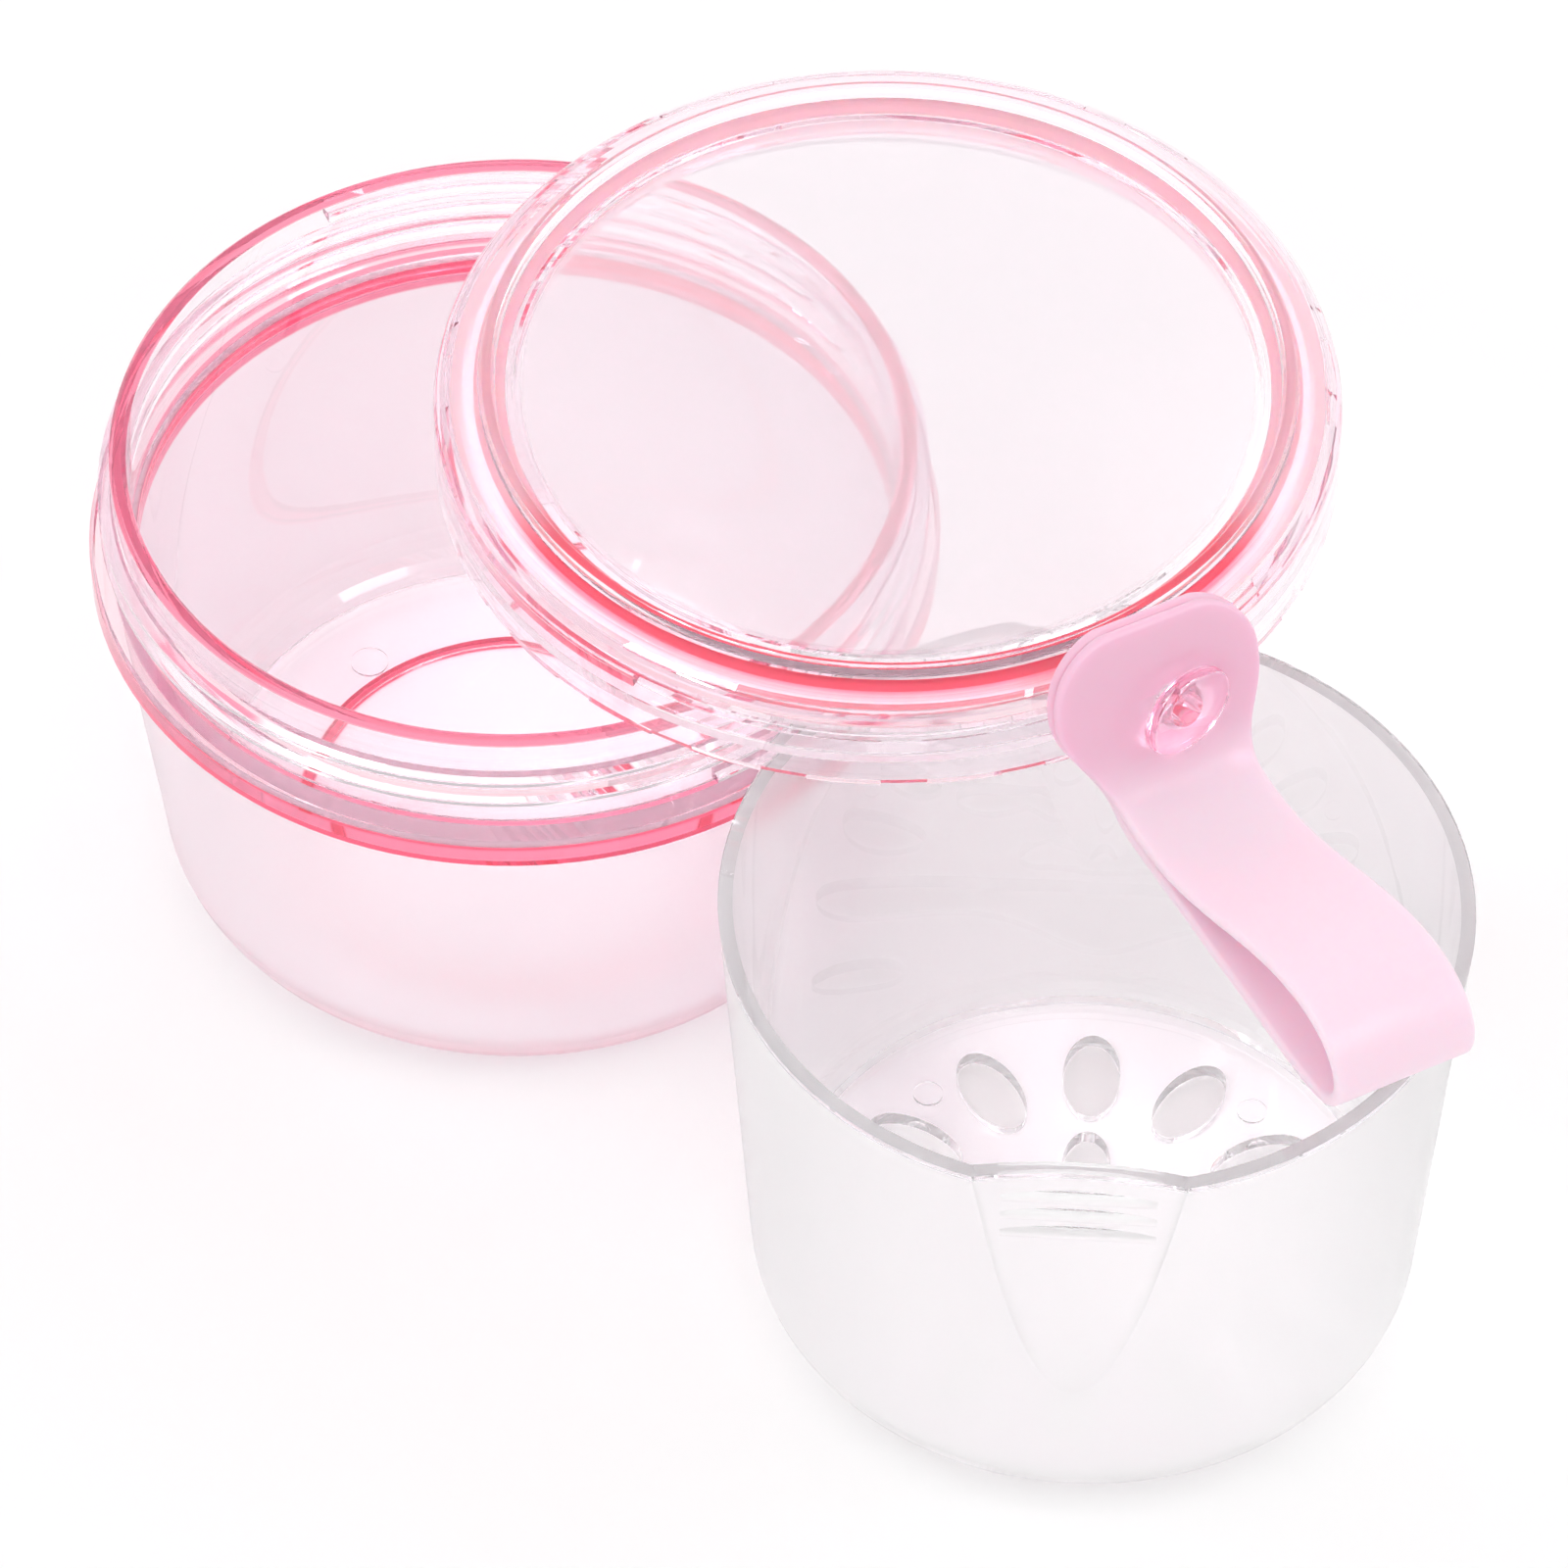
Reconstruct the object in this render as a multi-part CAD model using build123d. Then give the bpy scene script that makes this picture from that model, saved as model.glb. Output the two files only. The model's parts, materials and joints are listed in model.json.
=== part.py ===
from build123d import *
import os
from math import atan2, cos, degrees, radians, sin

# A lidded soaking cup laid out open: the screw-neck jar stands at the origin, the drain basket
# stands beside it, and the lid with its silicone strap lies across the two rims.
# Millimetres, +Z up, origin at the centre of the jar's underside.

# Jar
JAR_HEIGHT = 62.5
JAR_WALL = 1.9
JAR_FLOOR = 2.2
NECK_RADIUS = 45.2
SHOULDER_RADIUS = 48.0
SHOULDER_LOW = 45.0
SHOULDER_HIGH = 49.0
BODY_TOP_RADIUS = 45.7
BODY_BASE_RADIUS = 40.6
BODY_CORNER = 8.0
RIM_ROUND = 0.5
FOOT_GROOVE_RADIUS = 25.6
FOOT_GROOVE_WIDTH = 1.2
FOOT_GROOVE_DEPTH = 0.8
NECK_LEDGE = 0.6

# Screw thread, the same pitch on the neck and in the lid
THREAD_PITCH = 3.15
NECK_THREAD_TURNS = 2.5
NECK_THREAD_START = 51.3
NECK_THREAD_CREST = 46.7
LID_THREAD_TURNS = 1.6
LID_THREAD_START = 1.4
LID_THREAD_CREST = 46.0
THREAD_BASE = 1.7
THREAD_TIP = 0.7
THREAD_ROOT_SINK = 0.5
NECK_THREAD_TURN = -60.0
LID_THREAD_TURN = 20.0

# Ejector marks moulded in the floors
MARK_HEIGHT = 0.25
JAR_MARK_RADIUS = 2.2
JAR_MARK_CIRCLE = 28.0
JAR_MARK_TURN = 131.0
BASKET_MARK_RADIUS = 1.7
BASKET_MARK_CIRCLE = 26.0

# Drain basket
BASKET_X = 64.4
BASKET_Y = -63.4
BASKET_TURN = -3.5
BASKET_HEIGHT = 58.2
BASKET_WALL = 1.6
BASKET_FLOOR = 1.8
BASKET_RIM_RADIUS = 40.9
BASKET_BASE_RADIUS = 36.9
BASKET_CORNER = 5.5
SCOOP_RIM_REACH = 38.1
SCOOP_BASE_REACH = 38.5
SCOOP_RADIUS = 58.0
PETAL_COUNT = 12
PETAL_CIRCLE = 22.4
PETAL_LENGTH = 12.0
PETAL_WIDTH = 6.6
INNER_PETAL_COUNT = 6
INNER_PETAL_CIRCLE = 9.6
INNER_PETAL_LENGTH = 9.2
INNER_PETAL_WIDTH = 5.4
GRIP_RIDGE_DROPS = (3.8, 6.7, 9.6)
GRIP_RIDGE_LENGTH = 16.6
GRIP_RIDGE_RADIUS = 0.9
GRIP_RIDGE_SINK = 0.1

# Lid, heights counted from the bottom edge of its skirt
LID_X = 41.8
LID_Y = -0.9
REST_GAP = 0.3
LID_BOTTOM = JAR_HEIGHT + REST_GAP
LID_RADIUS = 50.5
SKIRT_INNER_RADIUS = 48.2
SKIRT_TOP = 8.2
SHOULDER_TOP = 12.0
SHOULDER_INNER = 46.1
CREST_OUTER = 45.6
CREST_INNER = 43.6
CREST_HEIGHT = 13.3
DISC_RADIUS = 41.4
DISC_TOP = 11.4
DISC_UNDER = 9.6
DISC_EDGE_ROUND = 0.4
CEILING = 9.9
PLUG_INNER = 41.5
PLUG_OUTER = 42.7
PLUG_BOTTOM = 7.4
NOTCH_COUNT = 24
NOTCH_TURN = 2.0
NOTCH_LENGTH = 5.0
NOTCH_HEIGHT = 0.8
NOTCH_DEPTH = 0.9

# Sealing ring seated under the lid's ceiling, its upper outer edge bevelled
SEAL_INNER = 42.8
SEAL_OUTER = 48.1
SEAL_THICK = 2.4
SEAL_BEVEL = 2.1

# Stud and boss on the skirt; the stud leans up from level
STUD_TURN = -56.0
STUD_HEIGHT = 7.8
STUD_LEAN = 16.0
BOSS_THICK = 0.5
BOSS_ROOT = 1.0
BOSS_WIDTH = 13.0
BOSS_HEIGHT = 10.4
STUD_SHANK = 2.0
STUD_EMBED = 2.0
STUD_GRIP = 6.2
STUD_HEAD_LENGTH = 11.4
STUD_HEAD_WIDTH = 8.0
STUD_HEAD_THICK = 2.2
STUD_HEAD_ROUND = 0.9
STUD_HEAD_TILT = 26.0
HEAD_OVERLAP = 0.5

# Strap tab, square to the leaning stud and two layers thick
STRAP_THICK = 1.5
STRAP_WIDTH = 17.0
STRAP_YAW = -6.0
TAB_STANDOFF = 2.2
TAB_MID = TAB_STANDOFF + STRAP_THICK
TAB_WIDTH = 25.0
TAB_OFFSET = -1.2
TAB_ABOVE = 11.4
TAB_BELOW = 8.5
TAB_CORNER = 8.4
STRAP_HOLE = 2.7

# Strap loop seen from its side: reach level outwards from the stud's root, height above that root
LAYERS_TOP = -2.0
DIP_REACH = 20.0
CREST_REACH = 45.0
CREST_LEVEL = 0.9
LOOP_REACH = 56.0
LOOP_LOW = -10.0
LOOP_SPLIT_REACH = 23.0
TAB_TO_DIP_RADIUS = 6.0
TAB_TO_LOW_RADIUS = 8.0
DIP_RADIUS = 30.0
CREST_RADIUS = 14.0
FOLD_RADIUS = 5.4
SMALL_ROUND = 0.4


def ring_profile(points):
    """A closed outline in the XZ plane, given as radius and height pairs, turned about Z."""
    outline = Polyline(*[(r, 0, z) for r, z in points], close=True)
    return revolve(make_face(outline), Axis.Z, 360)


def arc_points(cx, cz, rx, rz, start, end, count=8):
    """Points of an elliptical arc in the XZ plane."""
    angles = [radians(start + (end - start) * i / count) for i in range(count + 1)]
    return [(cx + rx * cos(a), cz + rz * sin(a)) for a in angles]


def thread(root, crest, turns, start_z, first_angle):
    """A helical ridge from the root radius to the crest radius, with its ends tapered away."""
    outward = 1 if crest > root else -1
    path = Helix(pitch=THREAD_PITCH, height=THREAD_PITCH * turns, radius=root)
    sunk = -outward * THREAD_ROOT_SINK
    tall = crest - root
    section = Polyline(
        (root + sunk, 0, -THREAD_BASE / 2),
        (root + tall, 0, -THREAD_TIP / 2),
        (root + tall, 0, THREAD_TIP / 2),
        (root + sunk, 0, THREAD_BASE / 2),
        close=True,
    )
    ridge = sweep(make_face(section), path=path, is_frenet=True)
    return Pos(0, 0, start_z) * Rot(0, 0, first_angle) * ridge


def drafted(z, top_radius, base_radius, top_z):
    """The radius of a drafted wall at the height z."""
    return base_radius + (top_radius - base_radius) * z / top_z


def jar():
    body_low = drafted(BODY_CORNER, BODY_TOP_RADIUS, BODY_BASE_RADIUS, SHOULDER_LOW)
    outer = [(0, 0)]
    outer += arc_points(body_low - BODY_CORNER, BODY_CORNER, BODY_CORNER, BODY_CORNER, -90, 0)
    outer += [
        (BODY_TOP_RADIUS, SHOULDER_LOW),
        (SHOULDER_RADIUS - RIM_ROUND, SHOULDER_LOW),
        (SHOULDER_RADIUS, SHOULDER_LOW + RIM_ROUND),
        (SHOULDER_RADIUS, SHOULDER_HIGH - RIM_ROUND),
        (SHOULDER_RADIUS - RIM_ROUND, SHOULDER_HIGH),
        (NECK_RADIUS, SHOULDER_HIGH),
        (NECK_RADIUS, JAR_HEIGHT - RIM_ROUND),
        (NECK_RADIUS - RIM_ROUND, JAR_HEIGHT),
    ]
    neck_inner = NECK_RADIUS - JAR_WALL
    corner_inner = BODY_CORNER - JAR_WALL
    body_inner = body_low - JAR_WALL
    inner = [
        (neck_inner + RIM_ROUND, JAR_HEIGHT),
        (neck_inner, JAR_HEIGHT - RIM_ROUND),
        (neck_inner, SHOULDER_HIGH),
        (neck_inner - NECK_LEDGE, SHOULDER_HIGH - NECK_LEDGE),
        (neck_inner - NECK_LEDGE, SHOULDER_LOW),
    ]
    corner_x = body_inner - corner_inner
    corner_z = JAR_FLOOR + corner_inner
    inner += arc_points(corner_x, corner_z, corner_inner, corner_inner, 0, -90)
    inner += [(0, JAR_FLOOR)]
    shell = ring_profile(outer + inner)
    groove_outer = FOOT_GROOVE_RADIUS + FOOT_GROOVE_WIDTH / 2
    groove_inner = FOOT_GROOVE_RADIUS - FOOT_GROOVE_WIDTH / 2
    groove = Cylinder(groove_outer, 2 * FOOT_GROOVE_DEPTH) - Cylinder(groove_inner, 2 * FOOT_GROOVE_DEPTH)
    shell -= groove
    for turn in (0, 90, 180, 270):
        place = Rot(0, 0, JAR_MARK_TURN + turn) * Pos(JAR_MARK_CIRCLE, 0, JAR_FLOOR)
        shell += place * Cylinder(JAR_MARK_RADIUS, 2 * MARK_HEIGHT)
    shell += thread(NECK_RADIUS, NECK_THREAD_CREST, NECK_THREAD_TURNS, NECK_THREAD_START, NECK_THREAD_TURN)
    return shell


def petals(count, circle, length, width):
    """Ellipses set round a circle with their long axes pointing at its centre."""
    petal = extrude(Ellipse(length / 2, width / 2), amount=3 * BASKET_FLOOR, both=True)
    turns = [90 + 360 * i / count for i in range(count)]
    return [Rot(0, 0, turn) * Pos(circle, 0, 0) * petal for turn in turns]


def finger_scoop(wall, side):
    """A leaning cylinder outside the basket that presses one shallow finger scoop into its wall."""
    lean = degrees(atan2(SCOOP_RIM_REACH - SCOOP_BASE_REACH, BASKET_HEIGHT))
    roller = Pos(0, -SCOOP_RADIUS, 0) * Cylinder(SCOOP_RADIUS + wall, 4 * BASKET_HEIGHT)
    return Rot(0, 0, side) * Pos(0, -SCOOP_RIM_REACH, BASKET_HEIGHT) * Rot(lean, 0, 0) * roller


def cup(rim, base, corner, low, high):
    """A solid drafted cup shape from the height low to the height high."""
    wall_low = drafted(corner, rim, base, high - low)
    outline = [(0, low)]
    outline += [(r, z + low) for r, z in arc_points(wall_low - corner, corner, corner, corner, -90, 0)]
    outline += [(rim, high), (0, high)]
    return ring_profile(outline)


def basket():
    outside = cup(BASKET_RIM_RADIUS, BASKET_BASE_RADIUS, BASKET_CORNER, 0, BASKET_HEIGHT)
    inside = cup(
        BASKET_RIM_RADIUS - BASKET_WALL,
        BASKET_BASE_RADIUS - BASKET_WALL,
        BASKET_CORNER - BASKET_WALL,
        BASKET_FLOOR,
        BASKET_HEIGHT,
    )
    for side in (0, 180):
        outside -= finger_scoop(0, side)
        inside -= finger_scoop(BASKET_WALL, side)
    shell = outside - inside
    for petal in petals(PETAL_COUNT, PETAL_CIRCLE, PETAL_LENGTH, PETAL_WIDTH):
        shell -= petal
    for petal in petals(INNER_PETAL_COUNT, INNER_PETAL_CIRCLE, INNER_PETAL_LENGTH, INNER_PETAL_WIDTH):
        shell -= petal
    for turn in (45, 135, 225, 315):
        place = Rot(0, 0, turn) * Pos(BASKET_MARK_CIRCLE, 0, BASKET_FLOOR)
        shell += place * Cylinder(BASKET_MARK_RADIUS, 2 * MARK_HEIGHT)
    draft = (SCOOP_RIM_REACH - SCOOP_BASE_REACH) / BASKET_HEIGHT
    for side in (0, 180):
        for drop in GRIP_RIDGE_DROPS:
            reach = SCOOP_RIM_REACH - drop * draft - GRIP_RIDGE_SINK
            bar = Rot(0, 90, 0) * Cylinder(GRIP_RIDGE_RADIUS, GRIP_RIDGE_LENGTH)
            shell += Rot(0, 0, side) * Pos(0, -reach, BASKET_HEIGHT - drop) * bar
    return Pos(BASKET_X, BASKET_Y, 0) * Rot(0, 0, BASKET_TURN) * shell


def at_lid(shape):
    """Moves a shape built about the lid's own axis to the lid's place."""
    return Pos(LID_X, LID_Y, LID_BOTTOM) * shape


def stud_place():
    """The stud's root on the skirt in the lid's frame, with +X out along the leaning stud."""
    return Rot(0, 0, STUD_TURN) * Pos(LID_RADIUS, 0, STUD_HEIGHT) * Rot(0, -STUD_LEAN, 0)


def shank(length):
    """A round pin from inside the skirt's wall out to the given length along the leaning stud."""
    pin = Cylinder(STUD_SHANK, length + 2 * STUD_EMBED, align=(Align.CENTER, Align.CENTER, Align.MIN))
    pin = stud_place() * Pos(-2 * STUD_EMBED, 0, 0) * Rot(0, 90, 0) * pin
    return pin - Cylinder(LID_RADIUS - STUD_EMBED, 4 * SHOULDER_TOP)


def lid():
    outer = [(SKIRT_INNER_RADIUS, 0), (LID_RADIUS - RIM_ROUND, 0), (LID_RADIUS, RIM_ROUND)]
    outer += arc_points(
        SHOULDER_INNER, SKIRT_TOP, LID_RADIUS - SHOULDER_INNER, SHOULDER_TOP - SKIRT_TOP, 0, 90
    )
    crest_mid = (CREST_OUTER + CREST_INNER) / 2
    crest_half = (CREST_OUTER - CREST_INNER) / 2
    outer += arc_points(crest_mid, SHOULDER_TOP, crest_half, CREST_HEIGHT - SHOULDER_TOP, 0, 180, 6)
    outer += [
        (DISC_RADIUS + DISC_EDGE_ROUND, DISC_TOP + DISC_EDGE_ROUND / 2),
        (DISC_RADIUS, DISC_TOP),
        (0, DISC_TOP),
        (0, DISC_UNDER),
        (PLUG_INNER, DISC_UNDER),
        (PLUG_INNER, PLUG_BOTTOM),
        (PLUG_OUTER, PLUG_BOTTOM),
        (PLUG_OUTER, CEILING),
        (SKIRT_INNER_RADIUS, CEILING),
    ]
    shell = ring_profile(outer)
    boss = Box(
        2 * (BOSS_THICK + BOSS_ROOT),
        BOSS_WIDTH,
        BOSS_HEIGHT,
        align=(Align.CENTER, Align.CENTER, Align.MIN),
    )
    boss = Rot(0, 0, STUD_TURN) * Pos(LID_RADIUS - BOSS_ROOT, 0, 0) * boss
    shell += boss - Cylinder(LID_RADIUS - 2 * BOSS_ROOT, 4 * SHOULDER_TOP)
    for i in range(NOTCH_COUNT):
        notch = Box(2 * NOTCH_DEPTH, NOTCH_LENGTH, 2 * NOTCH_HEIGHT)
        shell -= Rot(0, 0, NOTCH_TURN + 360 * i / NOTCH_COUNT) * Pos(LID_RADIUS, 0, 0) * notch
    shell += thread(
        SKIRT_INNER_RADIUS, LID_THREAD_CREST, LID_THREAD_TURNS, LID_THREAD_START, LID_THREAD_TURN
    )
    shell -= shank(STUD_GRIP)
    return at_lid(shell)


def lid_seal():
    bottom = CEILING - SEAL_THICK
    ring = ring_profile(
        [
            (SEAL_INNER, bottom),
            (SEAL_OUTER, bottom),
            (SEAL_OUTER, CEILING - SEAL_BEVEL),
            (SEAL_OUTER - SEAL_BEVEL, CEILING),
            (SEAL_INNER, CEILING),
        ]
    )
    return at_lid(ring)


def strap_stud():
    head = extrude(Ellipse(STUD_HEAD_LENGTH / 2, STUD_HEAD_WIDTH / 2), amount=STUD_HEAD_THICK)
    head = fillet(head.edges(), STUD_HEAD_ROUND)
    head = Pos(STUD_GRIP, 0, 0) * Rot(STUD_HEAD_TILT, 0, 0) * Rot(0, 90, 0) * Rot(0, 0, 90) * head
    return at_lid(shank(STUD_GRIP + HEAD_OVERLAP) + stud_place() * head)


def tab_face(offset, level):
    """The side-view point of the leaning tab at a level, offset outwards from its mid-plane."""
    lean = radians(STUD_LEAN)
    return ((TAB_MID + offset - level * sin(lean)) / cos(lean), 0, level)


def carry_strap():
    tab = Box(2 * STRAP_THICK, TAB_WIDTH, TAB_ABOVE + TAB_BELOW)
    tab = fillet(tab.edges().filter_by(Axis.X), TAB_CORNER)
    tab = Pos(TAB_MID, TAB_OFFSET, (TAB_ABOVE - TAB_BELOW) / 2) * tab
    tab = Rot(0, 0, STRAP_YAW) * Rot(0, -STUD_LEAN, 0) * tab
    half = STRAP_THICK / 2
    crest = CREST_LEVEL + half
    low = LOOP_LOW - half
    dip = low + 2 * STRAP_THICK
    outside = FilletPolyline(
        tab_face(STRAP_THICK, LAYERS_TOP),
        tab_face(STRAP_THICK, dip),
        (DIP_REACH, 0, dip),
        (CREST_REACH, 0, crest),
        (LOOP_REACH + half, 0, crest),
        (LOOP_REACH + half, 0, low),
        tab_face(-STRAP_THICK, low),
        tab_face(-STRAP_THICK, LAYERS_TOP),
        radius=[
            SMALL_ROUND,
            TAB_TO_DIP_RADIUS,
            DIP_RADIUS,
            CREST_RADIUS,
            FOLD_RADIUS,
            FOLD_RADIUS,
            TAB_TO_LOW_RADIUS,
            SMALL_ROUND,
        ],
        close=True,
    )
    inside = FilletPolyline(
        (LOOP_SPLIT_REACH, 0, low + STRAP_THICK),
        (CREST_REACH, 0, crest - STRAP_THICK),
        (LOOP_REACH - half, 0, crest - STRAP_THICK),
        (LOOP_REACH - half, 0, low + STRAP_THICK),
        radius=[
            SMALL_ROUND,
            CREST_RADIUS - STRAP_THICK,
            FOLD_RADIUS - STRAP_THICK,
            FOLD_RADIUS - STRAP_THICK,
        ],
        close=True,
    )
    band = make_face(outside) - make_face(inside)
    loop = Rot(0, 0, STRAP_YAW) * extrude(band, amount=STRAP_WIDTH / 2, both=True)
    hole = Rot(0, -STUD_LEAN, 0) * Rot(0, 90, 0) * Cylinder(STRAP_HOLE, 8 * STRAP_THICK)
    strap = tab + loop - hole
    return at_lid(Rot(0, 0, STUD_TURN) * Pos(LID_RADIUS, 0, STUD_HEIGHT) * strap)


os.makedirs("parts", exist_ok=True)
export_step(jar(), "parts/jar.step")
export_step(basket(), "parts/basket.step")
export_step(lid(), "parts/lid.step")
export_step(lid_seal(), "parts/lid_seal.step")
export_step(strap_stud(), "parts/strap_stud.step")
export_step(carry_strap(), "parts/carry_strap.step")
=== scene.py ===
import json
import math

import bmesh
import bpy
from mathutils import Matrix, Vector


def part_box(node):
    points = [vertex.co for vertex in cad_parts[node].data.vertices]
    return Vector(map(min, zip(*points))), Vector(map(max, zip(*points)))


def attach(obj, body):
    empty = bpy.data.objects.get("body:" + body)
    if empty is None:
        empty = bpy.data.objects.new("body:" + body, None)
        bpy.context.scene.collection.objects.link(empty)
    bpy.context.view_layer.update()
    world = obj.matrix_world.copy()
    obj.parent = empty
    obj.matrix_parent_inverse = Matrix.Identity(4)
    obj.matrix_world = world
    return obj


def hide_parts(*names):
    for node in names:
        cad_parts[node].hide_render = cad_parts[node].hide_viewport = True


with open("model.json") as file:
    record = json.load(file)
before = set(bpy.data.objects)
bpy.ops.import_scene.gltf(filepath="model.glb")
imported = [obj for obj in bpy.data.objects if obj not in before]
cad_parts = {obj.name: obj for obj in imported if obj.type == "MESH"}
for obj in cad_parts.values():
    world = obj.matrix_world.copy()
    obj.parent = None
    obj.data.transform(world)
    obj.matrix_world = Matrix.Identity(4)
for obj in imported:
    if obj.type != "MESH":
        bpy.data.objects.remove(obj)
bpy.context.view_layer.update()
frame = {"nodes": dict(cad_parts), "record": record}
joints = {joint["name"]: joint for joint in frame["record"]["behaviour"]["joints"]}

# The photograph's camera: a long lens looking down at the open cup. Its place is in metres,
# its lens and film in millimetres.
CAMERA_PLACE = Vector((0.03057, -0.75361, 0.85882))
CAMERA_DOWN = math.radians(48.565)
CAMERA_ROLL = math.radians(0.42)
CAMERA_LENS = 225.0
CAMERA_FILM = 36

# Plastic and silicone colours, linear; CRIMSON is painted glow, for light carried far through the pink
# plastic.
CRIMSON = (0.95, 0.10, 0.20)
SALMON = (1.0, 0.68, 0.74)
PALE = (1.0, 0.985, 1.0)
HAZE = (0.985, 0.955, 0.98)
WHITE_HAZE = (1.0, 1.0, 1.0)
PINK_LOSS = (0.985, 0.0, 0.42)
GREY_LOSS = (0.0, 0.0, 0.0)
STRAP_DEEP = (1.0, 0.54, 0.68)
STRAP_PALE = (1.0, 0.73, 0.82)
FLOOR_WHITE = (0.95, 0.95, 0.95)

# Clear plastic: how much light each piece takes up, its roughness where glossy and what satin
# adds to it, and how much its hazy parts let through.
PLASTIC_IOR = 1.57
JAR_DENSITY = 7
LID_DENSITY = 9
BASKET_DENSITY = 3
STUD_DENSITY = 35
GLOSS = (0.004, 0.03)
SATIN_ROUGH = 0.32
SATIN_CLEAR = 0.6
DISC_CLEAR = 0.72

# Silicone: how dark its patches go, and the noise values between which they come and go.
MOTTLE_DARK = 0.97
MOTTLE_SPAN = (0.3, 0.7)

# Where the painted crimson glow and the satin faces begin and end, in metres: the ring and the rims are
# measured down from the top, the jar's foot and satin wall up from the floor, the rest by radius.
RING_BELOW_TOP = (0.0172, 0.0142)
RIM_DEPTH = 0.0004
BASKET_RIM_DEPTH = 0.001
FOOT_HEIGHT = (-0.001, 0.0009)
JAR_SATIN_HEIGHT = (0.001, 0.0445)
FOOT_GROOVE = (0.0249, 0.0263)
DISC_EDGE = (0.0405, 0.0412)
SEAL_FLAT_EDGE = (0.0459, 0.0466)
# The seal's painted crimson glow fades in between these cosines of the angle round from the front.
SEAL_FRONT = (0.36, 0.62)
# A face counts as outer from its distance off the axis times how squarely it looks away.
OUTER_FACE = (0.008, 0.02)


def add_camera():
    forward = Vector((0, math.cos(CAMERA_DOWN), -math.sin(CAMERA_DOWN)))
    level_up = Vector((0, math.sin(CAMERA_DOWN), math.cos(CAMERA_DOWN)))
    level_right = Vector((1, 0, 0))
    right = level_right * math.cos(CAMERA_ROLL) + level_up * math.sin(CAMERA_ROLL)
    up = level_up * math.cos(CAMERA_ROLL) - level_right * math.sin(CAMERA_ROLL)
    data = bpy.data.cameras.new("camera")
    data.lens = CAMERA_LENS
    data.sensor_width = CAMERA_FILM
    camera = bpy.data.objects.new("camera", data)
    turn = Matrix((right, up, -forward)).transposed().to_4x4()
    camera.matrix_world = Matrix.Translation(CAMERA_PLACE) @ turn
    bpy.context.scene.collection.objects.link(camera)
    bpy.context.scene.camera = camera


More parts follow.
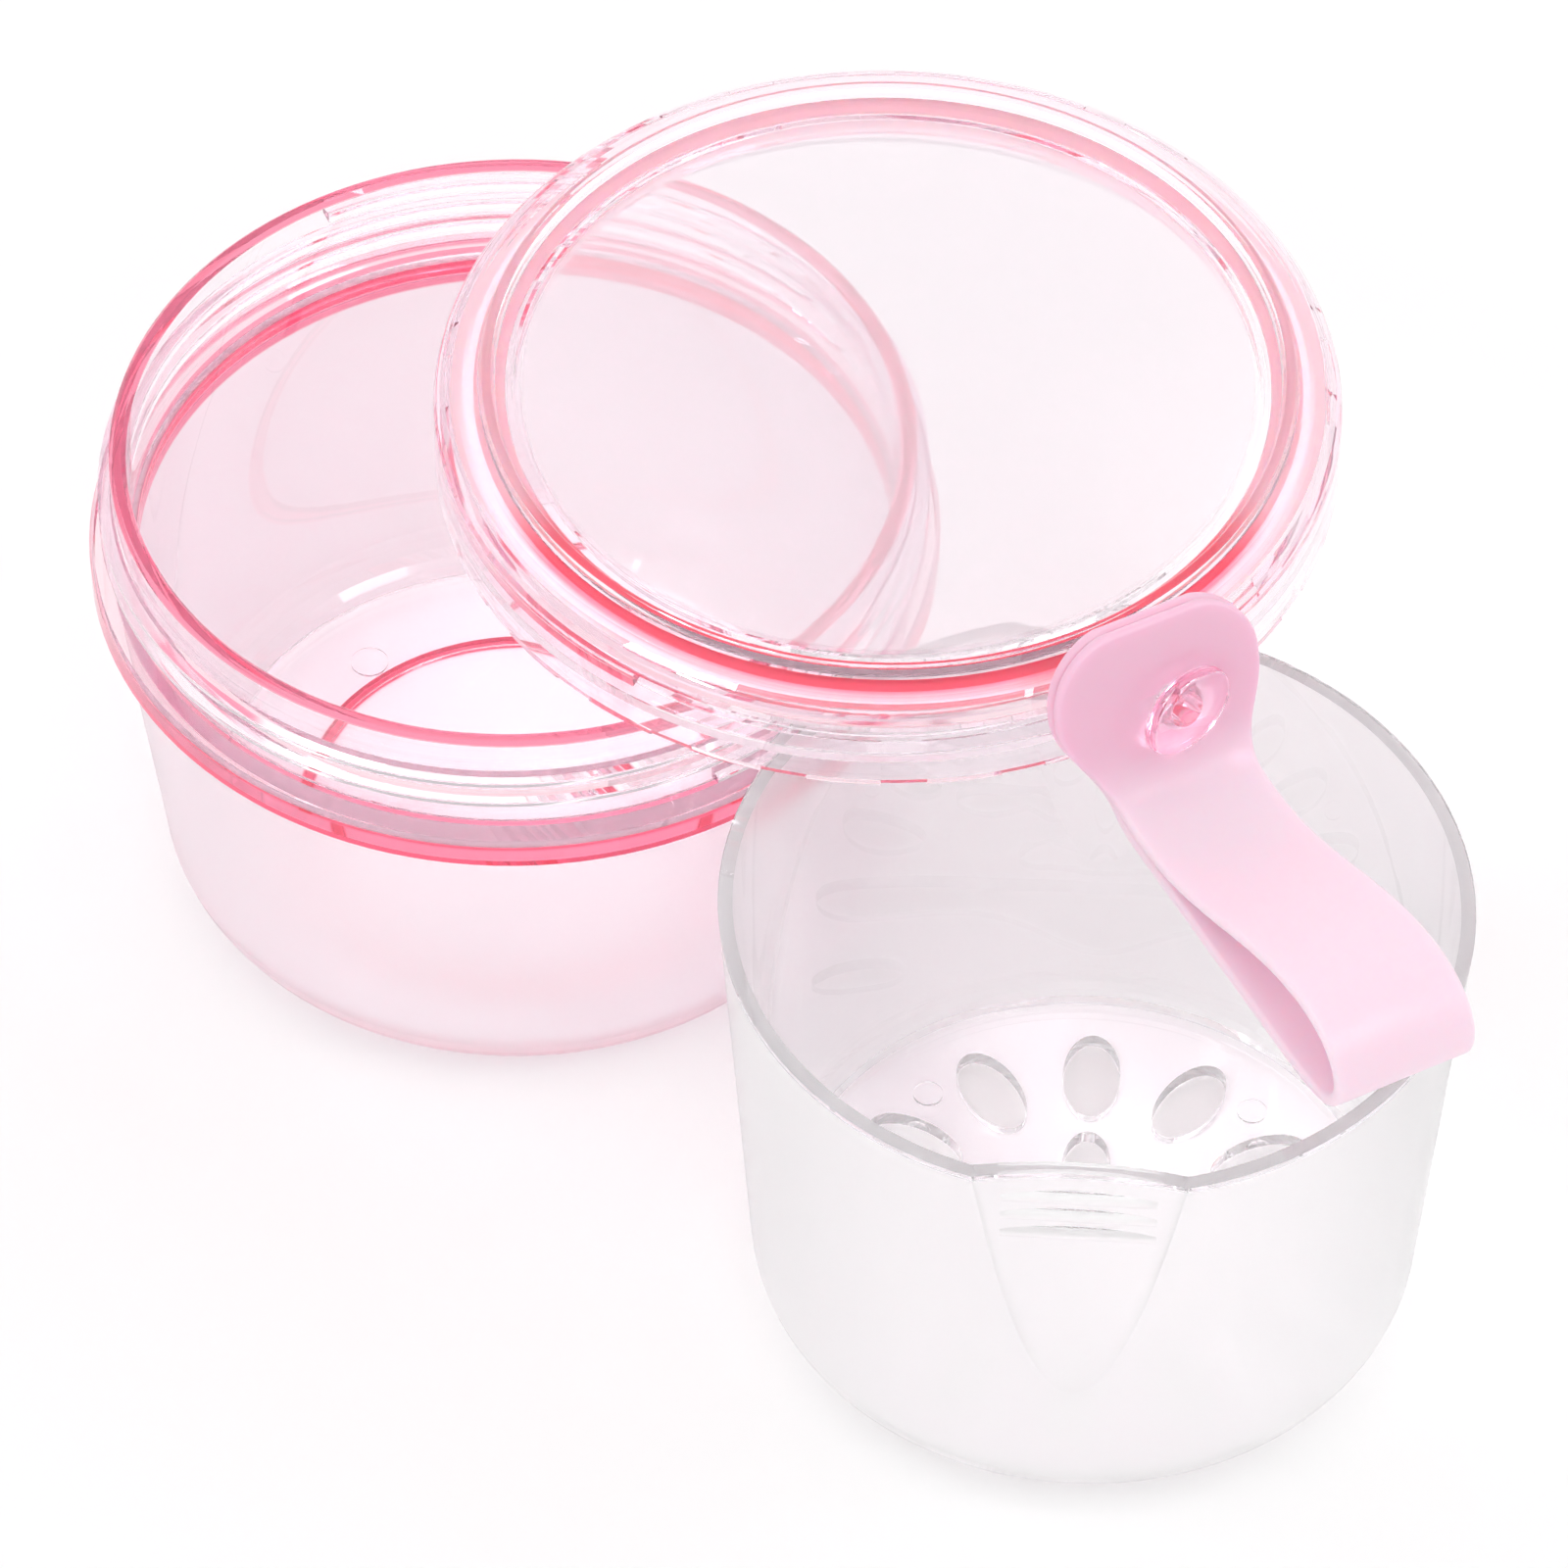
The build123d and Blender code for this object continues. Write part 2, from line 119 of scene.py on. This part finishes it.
# ---------------------------------------------------------------- node helpers
class Look:
    """A material's node tree with short ways to add nodes to it."""

    def __init__(self, name):
        self.material = bpy.data.materials.new(name)
        self.material.use_nodes = True
        self.tree = self.material.node_tree
        self.shader = self.tree.nodes["Principled BSDF"]
        coordinates = self.tree.nodes.new("ShaderNodeTexCoord")
        self.place = coordinates.outputs["Object"]
        self.normal = coordinates.outputs["Normal"]

    def link(self, source, target):
        self.tree.links.new(source, target)

    def feed(self, name, source):
        """Drives one of the shader's inputs from a node."""
        self.link(source, self.shader.inputs[name])

    def set(self, **values):
        for name, value in values.items():
            self.shader.inputs[name.replace("_", " ")].default_value = value

    def fill(self, sockets, terms):
        """Gives each socket its number, or the link that is to drive it."""
        for socket, term in zip(sockets, terms):
            if isinstance(term, bpy.types.NodeSocket):
                self.link(term, socket)
            else:
                socket.default_value = term

    def math(self, operation, *terms):
        node = self.tree.nodes.new("ShaderNodeMath")
        node.operation = operation
        self.fill(node.inputs, terms)
        return node.outputs[0]

    def vector(self, operation, *terms):
        node = self.tree.nodes.new("ShaderNodeVectorMath")
        node.operation = operation
        self.fill(node.inputs, terms)
        return node.outputs["Value" if operation in ("LENGTH", "DOT_PRODUCT") else "Vector"]

    def noise(self, scale, detail=4.0):
        node = self.tree.nodes.new("ShaderNodeTexNoise")
        node.inputs["Scale"].default_value = scale
        node.inputs["Detail"].default_value = detail
        self.link(self.place, node.inputs["Vector"])
        return node.outputs["Fac"]

    def spread(self, value, low, high, to_low=0.0, to_high=1.0):
        """Maps low..high to to_low..to_high, flat outside and smooth at both ends."""
        node = self.tree.nodes.new("ShaderNodeMapRange")
        node.interpolation_type = "SMOOTHSTEP"
        self.fill(list(node.inputs)[:5], (value, low, high, to_low, to_high))
        return node.outputs["Result"]

    def mix(self, factor, low, high):
        node = self.tree.nodes.new("ShaderNodeMix")
        node.data_type = "RGBA"
        colours = [(*c, 1) if isinstance(c, tuple) else c for c in (low, high)]
        self.fill((node.inputs["Factor"], node.inputs["A"], node.inputs["B"]), (factor, *colours))
        return node.outputs["Result"]

    def bump(self, height, distance, strength):
        node = self.tree.nodes.new("ShaderNodeBump")
        node.inputs["Distance"].default_value = distance
        node.inputs["Strength"].default_value = strength
        self.link(height, node.inputs["Height"])
        self.feed("Normal", node.outputs["Normal"])

    def coordinate(self, axis):
        node = self.tree.nodes.new("ShaderNodeSeparateXYZ")
        self.link(self.place, node.inputs[0])
        return node.outputs[axis]

    def band(self, value, low, high, soft):
        """1 between low and high, falling to 0 over the soft distance outside."""
        rise = self.spread(value, low - soft, low)
        fall = self.spread(value, high, high + soft, 1.0, 0.0)
        return self.math("MULTIPLY", rise, fall)

    def off_axis(self, centre):
        """The level vector to here from an upright axis through the centre."""
        shifted = self.vector("SUBTRACT", self.place, (centre[0], centre[1], 0))
        return self.vector("MULTIPLY", shifted, (1, 1, 0))

    def radius(self, centre):
        """The distance from an upright axis through the centre."""
        return self.vector("LENGTH", self.off_axis(centre))

    def outside(self, centre):
        """1 on upright faces that look away from an upright axis through the centre."""
        dot = self.vector("DOT_PRODUCT", self.off_axis(centre), self.normal)
        back = self.tree.nodes.new("ShaderNodeNewGeometry").outputs["Backfacing"]
        sign = self.math("MULTIPLY_ADD", back, -2.0, 1.0)
        return self.spread(self.math("MULTIPLY", dot, sign), *OUTER_FACE)

    def satin(self, mask, gloss, rough, clear, colour):
        """Makes the masked plastic rougher, and hazy enough to hide what is behind it."""
        self.feed("Roughness", self.math("MULTIPLY_ADD", mask, rough, gloss))
        self.feed("Transmission Weight", self.spread(mask, 0, 1, 1.0, clear))
        return self.mix(mask, PALE, colour)


def clear_plastic(look, loss, density):
    """Moulded clear plastic: faint flow waves, uneven gloss and a body that takes up light."""
    look.set(Transmission_Weight=1.0, IOR=PLASTIC_IOR, Base_Color=(*PALE, 1))
    waves = look.noise(scale=45, detail=1.0)
    look.bump(waves, distance=0.0002, strength=0.12)
    gloss = look.spread(waves, 0.35, 0.7, *GLOSS)
    look.feed("Roughness", gloss)
    volume = look.tree.nodes.new("ShaderNodeVolumeAbsorption")
    volume.inputs["Color"].default_value = (*loss, 1)
    volume.inputs["Density"].default_value = density
    look.link(volume.outputs[0], look.tree.nodes["Material Output"].inputs["Volume"])
    return gloss


def mottled(look, mottle, colour):
    """The colour, a little darker in patches."""
    return look.mix(mottle, colour, tuple(c * MOTTLE_DARK for c in colour))


def wear(name, material):
    obj = frame["nodes"][name]
    obj.data.materials.clear()
    obj.data.materials.append(material)


def middle(name):
    low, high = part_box(name)
    return [(a + b) / 2 for a, b in zip(low, high)]


def jar_material():
    """Pale pink, with crimson glow painted on the thick shoulder ring, the rim and the foot groove."""
    look = Look("jar_clear_pink")
    gloss = clear_plastic(look, PINK_LOSS, JAR_DENSITY)
    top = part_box("jar")[1][2]
    axis = middle("jar")
    height = look.coordinate("Z")
    ring_low, ring_high = (top - below for below in RING_BELOW_TOP)
    ring = look.band(height, ring_low, ring_high, soft=0.0005)
    rim = look.band(height, top - RIM_DEPTH, top, soft=0.0003)
    groove = look.band(look.radius(axis), *FOOT_GROOVE, soft=0.0003)
    foot = look.math("MULTIPLY", groove, look.band(height, *FOOT_HEIGHT, soft=0.0002))
    # Painted glow: crimson on the shoulder ring, rim and foot groove stands in for light carried far
    # through the thick pink plastic.
    painted_glow = look.math("MAXIMUM", look.math("MAXIMUM", ring, rim), foot)
    wall = look.band(height, *JAR_SATIN_HEIGHT, soft=0.0005)
    mask = look.math("MULTIPLY", look.outside(axis), wall)
    colour = look.satin(mask, gloss, SATIN_ROUGH, SATIN_CLEAR, HAZE)
    look.feed("Base Color", look.mix(painted_glow, colour, CRIMSON))
    return look.material


def lid_material():
    """Clear pink, with a faint haze in the flat top."""
    look = Look("lid_clear_pink")
    gloss = clear_plastic(look, PINK_LOSS, LID_DENSITY)
    mask = look.spread(look.radius(middle("lid_seal")), *DISC_EDGE, to_low=1.0, to_high=0.0)
    look.feed("Base Color", look.satin(mask, gloss, 0.0, DISC_CLEAR, HAZE))
    return look.material


def basket_material():
    """Clear and colourless inside, satin on its outer wall."""
    look = Look("basket_clear")
    gloss = clear_plastic(look, GREY_LOSS, BASKET_DENSITY)
    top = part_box("basket")[1][2]
    wall = look.band(look.coordinate("Z"), 0.0, top - BASKET_RIM_DEPTH, soft=0.0008)
    mask = look.math("MULTIPLY", look.outside(middle("basket")), wall)
    look.feed("Base Color", look.satin(mask, gloss, SATIN_ROUGH, SATIN_CLEAR, WHITE_HAZE))
    return look.material


def stud_material():
    look = Look("stud_clear_pink")
    clear_plastic(look, PINK_LOSS, STUD_DENSITY)
    return look.material


def seal_material():
    """Salmon silicone, with crimson glow painted on the flat of its front arc."""
    look = Look("seal_silicone_pink")
    centre = middle("lid_seal")
    across = look.radius(centre)
    forward = look.math("DIVIDE", look.math("SUBTRACT", centre[1], look.coordinate("Y")), across)
    flat = look.spread(across, *SEAL_FLAT_EDGE, to_low=1.0, to_high=0.0)
    # Painted glow: the front arc's crimson stands in for light carried a long way through the lid's
    # pink edge.
    painted_glow_arc = look.math("MULTIPLY", look.spread(forward, *SEAL_FRONT), flat)
    mottle = look.noise(scale=140, detail=3.0)
    look.feed("Base Color", look.mix(painted_glow_arc, mottled(look, mottle, SALMON), CRIMSON))
    look.set(Subsurface_Weight=0.3, Subsurface_Scale=0.001, Specular_IOR_Level=0.35)
    look.feed("Roughness", look.spread(mottle, *MOTTLE_SPAN, to_low=0.35, to_high=0.5))
    look.bump(look.noise(scale=2500), distance=0.00002, strength=0.3)
    return look.material


def strap_material():
    """Translucent pink silicone, deeper where its two ends lie on each other round the stud."""
    look = Look("strap_silicone_pink")
    double = look.tree.nodes.new("ShaderNodeAttribute")
    double.attribute_name = "double"
    mottle = look.noise(scale=60, detail=3.0)
    single = mottled(look, mottle, STRAP_PALE)
    look.feed("Base Color", look.mix(double.outputs["Fac"], single, STRAP_DEEP))
    look.set(Subsurface_Weight=0.8, Subsurface_Scale=0.0025, Specular_IOR_Level=0.4)
    look.set(Subsurface_Radius=(1.0, 0.55, 0.65))
    look.feed("Roughness", look.spread(mottle, *MOTTLE_SPAN, to_low=0.38, to_high=0.52))
    look.bump(look.noise(scale=1800), distance=0.00003, strength=0.25)
    return look.material


# ---------------------------------------------------------------- the strap
# All strap measures are in millimetres.
STRAP_PITCH = 1.5
STRAP_THICK = 1.42
BAND_HALF = 8.45
TAB_HALF = 12.45
TAB_SHIFT = -1.2
TAB_END_ROUND = 8.4
TAB_TOP = 11.3
TAB_LEVELS = (TAB_TOP, 7, 2, -3, -6)
TAB_MIDDLE = 3.7
TAB_FRONT = TAB_MIDDLE + STRAP_PITCH / 2
TAB_BACK = TAB_MIDDLE - STRAP_PITCH / 2
EDGE_ROUND = 0.62
EDGE_SHARE = 0.48
STRAP_YAW = math.radians(-6)
STRAP_HOLE = 2.7
CUTTER_DEPTH = 12
# How far from an end the tab starts to narrow and its deep colour to fade, and over what length.
NARROWS = (9.5, 13.0)
FADES = (12.0, 14.0)
# The very end is never quite a point or a line: the least distance from the end that the width
# is worked out at, and the least share, squared, of the thickness that is kept.
END_REACH = 0.02
END_SHARE = 0.02
# Cross-section: steps round each corner and along each flat side.
CORNER_STEPS = 4
FLAT_STEPS = 8
CURVE_STEPS = 24
# The loop seen from its side, from the tab out to the fold and back, from the stud's root:
# reach and height.
UPPER_ROUTE = [(8.6, -7.7), (13, -8.4), (20, -7.9), (28, -5.1), (36, -1.7), (43.5, 0.6), (50, 0.9)]
FOLD_ROUTE = [(54.3, -1.1), (56, -4.9), (54.6, -8.6), (50.5, -10)]
LOWER_ROUTE = [(40, -10), (26, -10), (14, -10), (8.4, -9.6)]


def ease_out(value, start, length):
    """1 up to the start, falling smoothly to 0 over the length."""
    along = min(max((value - start) / length, 0.0), 1.0)
    return 1 - along * along * (3 - 2 * along)


def on_tab(depth, level, lean):
    """Side-view point of the leaning tab, from its depth off the skirt and its level along the tab."""
    reach = depth * math.cos(lean) - level * math.sin(lean)
    height = depth * math.sin(lean) + level * math.cos(lean)
    return reach, height


def strap_route(lean):
    """Side-view points along the strap's middle, from one end round the loop to the other."""
    corners = [on_tab(TAB_FRONT, level, lean) for level in TAB_LEVELS]
    corners += UPPER_ROUTE + FOLD_ROUTE + LOWER_ROUTE
    corners += [on_tab(TAB_BACK, level, lean) for level in reversed(TAB_LEVELS)]
    curve = bpy.data.curves.new("route", "CURVE")
    curve.resolution_u = CURVE_STEPS
    spline = curve.splines.new("NURBS")
    spline.points.add(len(corners) - 1)
    for point, (reach, height) in zip(spline.points, corners):
        point.co = (reach, 0, height, 1)
    spline.order_u = 3
    spline.use_endpoint_u = True
    holder = bpy.data.objects.new("route", curve)
    line = bpy.data.meshes.new_from_object(holder)
    points = [v.co.copy() for v in line.vertices]
    bpy.data.objects.remove(holder)
    bpy.data.meshes.remove(line)
    return points


def from_ends(route):
    """Each route point's distance from the nearer end, measured along the strap."""
    lengths = [0.0]
    for a, b in zip(route, route[1:]):
        lengths.append(lengths[-1] + (b - a).length)
    return [min(length, lengths[-1] - length) for length in lengths]


def half_width(from_end):
    """Half the strap's width at a distance from its nearer end, and how far its middle is shifted."""
    widen = ease_out(from_end, *NARROWS)
    half = BAND_HALF + (TAB_HALF - BAND_HALF) * widen
    if from_end < TAB_END_ROUND:
        drop = TAB_END_ROUND - from_end
        half -= TAB_END_ROUND - math.sqrt(TAB_END_ROUND**2 - drop**2)
    return half, TAB_SHIFT * widen


def thickness(from_end):
    """The strap's thickness, rounded off at its very ends."""
    short = max(0.0, 1 - from_end / EDGE_ROUND)
    return STRAP_THICK * math.sqrt(max(END_SHARE, 1 - short**2))


def strap_section(half, thick):
    """A flat cross-section with round edges: sideways and outward pairs."""
    edge = min(EDGE_ROUND, thick * EDGE_SHARE)
    points = []
    for side_x, side_y, start in ((1, 1, 0), (-1, 1, 90), (-1, -1, 180), (1, -1, 270)):
        x = side_x * (half - edge)
        y = side_y * (thick / 2 - edge)
        for i in range(CORNER_STEPS + 1):
            angle = math.radians(start + 90 * i / CORNER_STEPS)
            points.append((x + edge * math.cos(angle), y + edge * math.sin(angle)))
        if start in (0, 180):
            for i in range(1, FLAT_STEPS):
                points.append((x * (1 - 2 * i / FLAT_STEPS), side_y * thick / 2))
    return points


def new_object(name, mesh):
    """Turns an edit mesh into an object of the scene."""
    data = bpy.data.meshes.new(name)
    mesh.to_mesh(data)
    mesh.free()
    obj = bpy.data.objects.new(name, data)
    bpy.context.scene.collection.objects.link(obj)
    return obj


def folded_strip(root, out, lean):
    """The strap without its hole; each vertex keeps how far the two ends lie doubled there."""
    up = Vector((0, 0, 1))
    side = up.cross(out)
    route = strap_route(lean)
    mesh = bmesh.new()
    double = mesh.verts.layers.float.new("double")
    rings = []
    for i, (point, from_end) in enumerate(zip(route, from_ends(route))):
        ahead = route[min(i + 1, len(route) - 1)] - route[max(i - 1, 0)]
        ahead.normalize()
        normal = Vector((-ahead.z, 0, ahead.x))
        half, shift = half_width(max(from_end, END_REACH))
        ring = []
        for x, y in strap_section(half, thickness(from_end)):
            local = point + normal * y
            place = root + (out * local.x + up * local.z + side * (x + shift)) / 1000
            vertex = mesh.verts.new(place)
            vertex[double] = ease_out(from_end, *FADES)
            ring.append(vertex)
        rings.append(ring)
    for ring, following in zip(rings, rings[1:]):
        for j in range(len(ring)):
            k = (j + 1) % len(ring)
            mesh.faces.new((ring[j], ring[k], following[k], following[j]))
    mesh.faces.new(rings[0])
    mesh.faces.new(list(reversed(rings[-1])))
    bmesh.ops.recalc_face_normals(mesh, faces=mesh.faces)
    return new_object("strap", mesh)


def punch_hole(strap, root, axis):
    """Cuts the round hole that the stud's shank passes through."""
    mesh = bmesh.new()
    radius = STRAP_HOLE / 1000
    depth = CUTTER_DEPTH / 1000
    bmesh.ops.create_cone(mesh, cap_ends=True, segments=48, radius1=radius, radius2=radius, depth=depth)
    cutter = new_object("hole", mesh)
    turn = axis.to_track_quat("Z", "Y").to_matrix().to_4x4()
    cutter.matrix_world = Matrix.Translation(root + axis * TAB_MIDDLE / 1000) @ turn
    cut = strap.modifiers.new("hole", "BOOLEAN")
    cut.operation = "DIFFERENCE"
    cut.solver = "EXACT"
    cut.object = cutter
    bpy.context.view_layer.update()
    done = bpy.data.meshes.new_from_object(strap.evaluated_get(bpy.context.evaluated_depsgraph_get()))
    strap.modifiers.clear()
    strap.data = done
    bpy.data.objects.remove(cutter)


def make_strap():
    """The soft strap on its stud, in place of the stiff CAD strap."""
    joint = joints["strap_swing"]
    root = Vector(joint["pos_m"])
    axis = Vector(joint["axis"]).normalized()
    out = Vector((axis.x, axis.y, 0)).normalized()
    out.rotate(Matrix.Rotation(STRAP_YAW, 3, "Z"))
    strap = folded_strip(root, out, math.asin(axis.z))
    punch_hole(strap, root, axis)
    strap.data.materials.append(strap_material())
    for polygon in strap.data.polygons:
        polygon.use_smooth = True
    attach(strap, "strap_body")
    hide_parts("carry_strap")


# ---------------------------------------------------------------- studio
FLOOR_HALF = 3.0
FLOOR_DROP = 0.0002
SKY_LEVEL = 1.1
SKY_LOW = 0.55
SKY_RISE = 0.35
BOUNCES = 48


def add_floor():
    mesh = bpy.data.meshes.new("floor")
    signs = [(-1, -1), (1, -1), (1, 1), (-1, 1)]
    corners = [(x * FLOOR_HALF, y * FLOOR_HALF, -FLOOR_DROP) for x, y in signs]
    mesh.from_pydata(corners, [], [(0, 1, 2, 3)])
    floor = bpy.data.objects.new("floor", mesh)
    bpy.context.scene.collection.objects.link(floor)
    look = Look("floor_paint")
    look.set(Base_Color=(*FLOOR_WHITE, 1), Roughness=0.9, Specular_IOR_Level=0.0)
    mesh.materials.append(look.material)


def add_world():
    """A white studio that is greyer low down, so that clear edges have something to show."""
    world = bpy.data.worlds.new("studio")
    bpy.context.scene.world = world
    world.use_nodes = True
    tree = world.node_tree
    direction = tree.nodes.new("ShaderNodeTexCoord").outputs["Generated"]
    split = tree.nodes.new("ShaderNodeSeparateXYZ")
    tree.links.new(direction, split.inputs[0])
    rise = tree.nodes.new("ShaderNodeMapRange")
    rise.interpolation_type = "SMOOTHSTEP"
    rise.inputs["From Min"].default_value = 0.0
    rise.inputs["From Max"].default_value = SKY_RISE
    rise.inputs["To Min"].default_value = SKY_LOW
    rise.inputs["To Max"].default_value = SKY_LEVEL
    tree.links.new(split.outputs["Z"], rise.inputs["Value"])
    tree.links.new(rise.outputs["Result"], tree.nodes["Background"].inputs["Strength"])
    tree.nodes["Background"].inputs["Color"].default_value = (1, 1, 1, 1)


def add_softbox(name, azimuth, elevation, size, power, aim):
    """A large lamp one metre from the aim, seen in highlights only; angles in degrees."""
    data = bpy.data.lights.new(name, "AREA")
    data.shape = "RECTANGLE"
    data.size, data.size_y = size
    data.energy = power
    light = bpy.data.objects.new(name, data)
    azimuth, elevation = math.radians(azimuth), math.radians(elevation)
    level = math.cos(elevation)
    away = Vector((level * math.cos(azimuth), level * math.sin(azimuth), math.sin(elevation)))
    light.location = aim + away
    light.rotation_euler = away.to_track_quat("Z", "Y").to_euler()
    light.visible_diffuse = False
    bpy.context.scene.collection.objects.link(light)


add_camera()
add_floor()
add_world()
lid_middle = Vector(middle("lid"))
add_softbox("softbox_left", -150, 55, (0.35, 0.25), 3.0, lid_middle)
add_softbox("softbox_right", -35, 50, (0.3, 0.22), 2.4, lid_middle)

wear("jar", jar_material())
wear("lid", lid_material())
wear("basket", basket_material())
wear("strap_stud", stud_material())
wear("lid_seal", seal_material())
make_strap()

scene = bpy.context.scene
scene.view_settings.view_transform = "Standard"
# Light passes many clear walls, and with no gloss filter the floor under the cups stays white.
scene.cycles.max_bounces = BOUNCES
scene.cycles.transmission_bounces = BOUNCES
scene.cycles.glossy_bounces = BOUNCES
scene.cycles.blur_glossy = 0.0
scene.cycles.use_denoising = True
